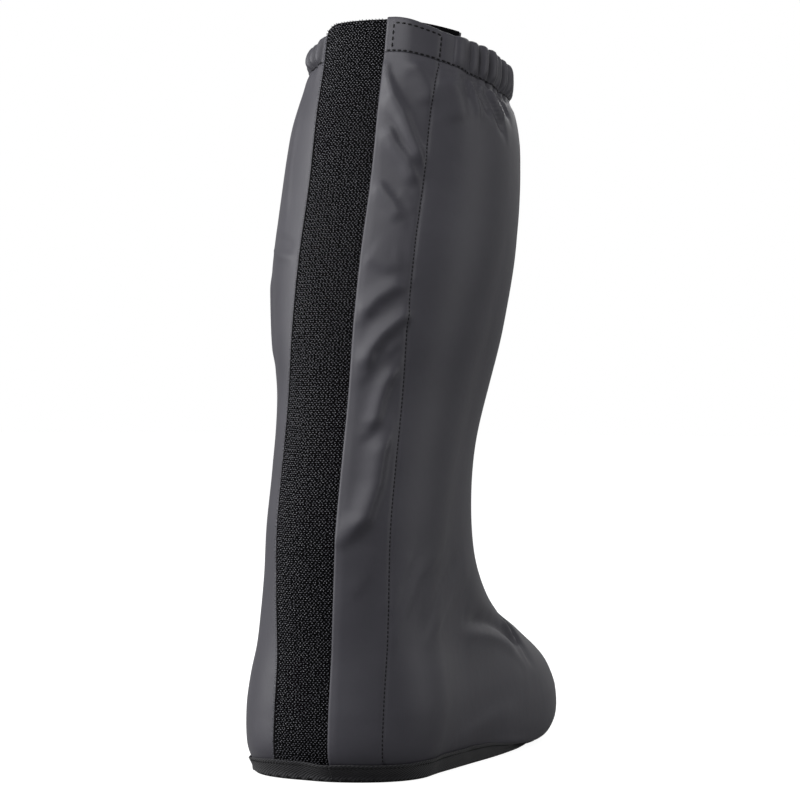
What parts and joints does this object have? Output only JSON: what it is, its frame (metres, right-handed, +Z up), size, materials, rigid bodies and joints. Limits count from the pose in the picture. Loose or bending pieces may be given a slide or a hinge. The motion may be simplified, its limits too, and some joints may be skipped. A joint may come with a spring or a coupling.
{
  "type": "rain overshoe",
  "caption": "Tall waterproof rain overshoe with a leaning shaft, a full-length hook-and-loop back opening under a flap, a gathered elastic collar and a flat sole with a bound edge.",
  "frame": {"origin": "middle of the overshoe's bounding box, on the floor under the sole", "axes": "+Z up along the shaft, +Y toward the toe, +X to the wearer's right"},
  "size_m": [0.1338, 0.304, 0.4212],
  "materials": {
    "coated_fabric": "grey coated polyester, satin",
    "sole_rubber": "black rubber sheet, matt",
    "binding_tape": "dark grey twill tape",
    "hook_tape": "black nylon hooks",
    "loop_tape": "black nylon loops",
    "gathered_fabric": "grey coated polyester, gathered"
  },
  "bodies": {
    "root": {"upper": "coated_fabric", "sole": "sole_rubber", "sole_binding": "binding_tape", "back_tape": "hook_tape", "flap_tape": "loop_tape", "elastic_collar": "gathered_fabric"}
  },
  "joints": []
}
